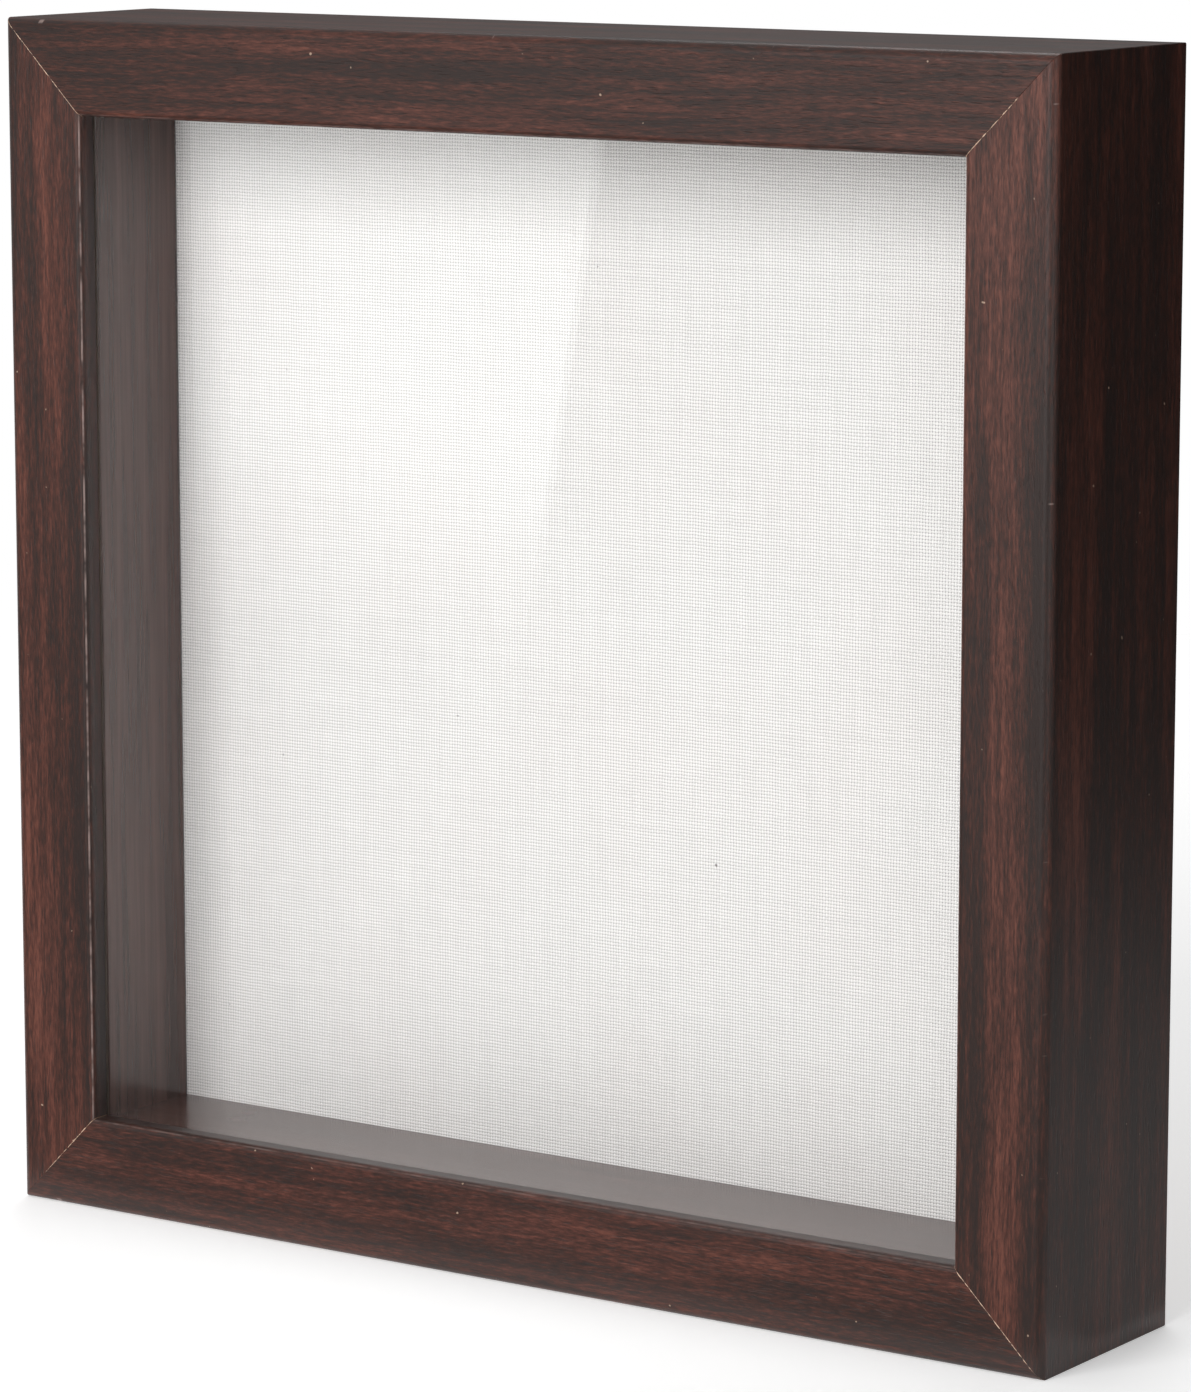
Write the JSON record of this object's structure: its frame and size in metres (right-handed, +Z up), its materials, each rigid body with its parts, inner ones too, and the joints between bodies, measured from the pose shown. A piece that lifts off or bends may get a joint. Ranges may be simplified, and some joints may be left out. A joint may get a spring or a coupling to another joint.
{
  "type": "shadow box",
  "caption": "Square rear-loading shadow box: deep mitred dark frame, front glass, spacer liner, linen-covered pin board, turn buttons and a sawtooth hanger.",
  "frame": {"origin": "on the surface that the box stands on, at mid width, halfway between the frame's front and rear faces", "axes": "+Z up, +Y from the glass towards the rear, +X to the viewer's right"},
  "size_m": [0.235, 0.0491, 0.235],
  "materials": {
    "moulding_wrap": "satin foil with dark wood grain over fibreboard",
    "spacer_wrap": "smooth semi-gloss dark foil",
    "window_glass": "polished",
    "linen": "plain weave, matt",
    "fibre_board": "soft fibreboard",
    "hardboard": "smooth-faced hardboard",
    "zinc_plate": "zinc plated",
    "screw_steel": "zinc plated",
    "brass_plate": "brass plated steel",
    "nail_steel": "bright steel",
    "wedge_steel": "pressed strip"
  },
  "bodies": {
    "frame": {"top_rail": "moulding_wrap", "bottom_rail": "moulding_wrap", "left_stile": "moulding_wrap", "right_stile": "moulding_wrap", "corner_wedges": "wedge_steel", "glass_pane": "window_glass", "spacer_top": "spacer_wrap", "spacer_bottom": "spacer_wrap", "spacer_left": "spacer_wrap", "spacer_right": "spacer_wrap", "turn_button_screws": "screw_steel", "sawtooth_hanger": "brass_plate", "hanger_nails": "nail_steel"},
    "back": {"linen_cloth": "linen", "pin_board": "fibre_board", "back_panel": "hardboard"},
    "upper_left_button": {"turn_button_upper_left": "zinc_plate"},
    "lower_left_button": {"turn_button_lower_left": "zinc_plate"},
    "upper_right_button": {"turn_button_upper_right": "zinc_plate"},
    "lower_right_button": {"turn_button_lower_right": "zinc_plate"}
  },
  "joints": [
    {"name": "back_slide", "type": "slide", "parent": "frame", "child": "back", "axis": [0, 1, 0], "range_m": [0, 0.06]},
    {"name": "upper_left_turn", "type": "hinge", "parent": "frame", "child": "upper_left_button", "pos_m": [-0.11125, 0.0236, 0.175], "axis": [0, 1, 0], "range_deg": [-90, 0]},
    {"name": "lower_left_turn", "type": "hinge", "parent": "frame", "child": "lower_left_button", "pos_m": [-0.11125, 0.0236, 0.06], "axis": [0, 1, 0], "range_deg": [-90, 0]},
    {"name": "upper_right_turn", "type": "hinge", "parent": "frame", "child": "upper_right_button", "pos_m": [0.11125, 0.0236, 0.175], "axis": [0, -1, 0], "range_deg": [-90, 0]},
    {"name": "lower_right_turn", "type": "hinge", "parent": "frame", "child": "lower_right_button", "pos_m": [0.11125, 0.0236, 0.06], "axis": [0, -1, 0], "range_deg": [-90, 0]}
  ]
}
